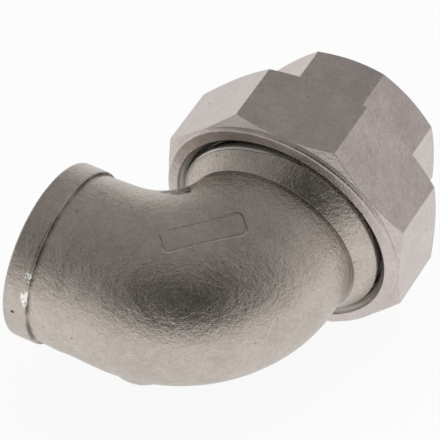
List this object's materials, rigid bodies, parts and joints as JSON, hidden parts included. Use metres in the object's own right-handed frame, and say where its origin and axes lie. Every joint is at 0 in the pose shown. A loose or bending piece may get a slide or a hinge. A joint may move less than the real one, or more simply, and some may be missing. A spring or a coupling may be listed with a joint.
{
  "type": "union elbow",
  "caption": "Cast right-angle pipe elbow with two female threaded ends, one joined by an octagonal union nut.",
  "frame": {"origin": "on the mouth's axis, where the mouth's thread starts, 0.7 mm inside the mouth's face", "axes": "-X out of the mouth, +Y out of the union end along the union axis, +Z square to both"},
  "size_m": [0.056, 0.0685, 0.046],
  "materials": {
    "cast_steel": "blasted investment casting",
    "tail_steel": "blasted casting, turned ends",
    "nut_steel": "blasted casting, turned ends",
    "gasket": "plain white sheet"
  },
  "bodies": {
    "elbow": {"elbow_body": "cast_steel"},
    "gasket": {"seal_ring": "gasket"},
    "tail": {"tailpiece": "tail_steel"},
    "nut": {"union_nut": "nut_steel"}
  },
  "joints": [
    {"name": "union_draw", "type": "slide", "parent": "elbow", "child": "gasket", "axis": [0, 1, 0], "range_m": [0, 0.00601]},
    {"name": "nut_turn", "type": "hinge", "parent": "gasket", "child": "nut", "pos_m": [0.0323, 0.031, 0], "axis": [0, 1, 0], "range_deg": [0, 1440]},
    {"name": "tail_swivel", "type": "hinge", "parent": "gasket", "child": "tail", "pos_m": [0.0323, 0.041, 0], "axis": [0, 1, 0], "continuous": true}
  ],
  "couplings": [
    {"joint": "union_draw", "follows": "nut_turn", "m_per_rad": 0.00023873}
  ]
}
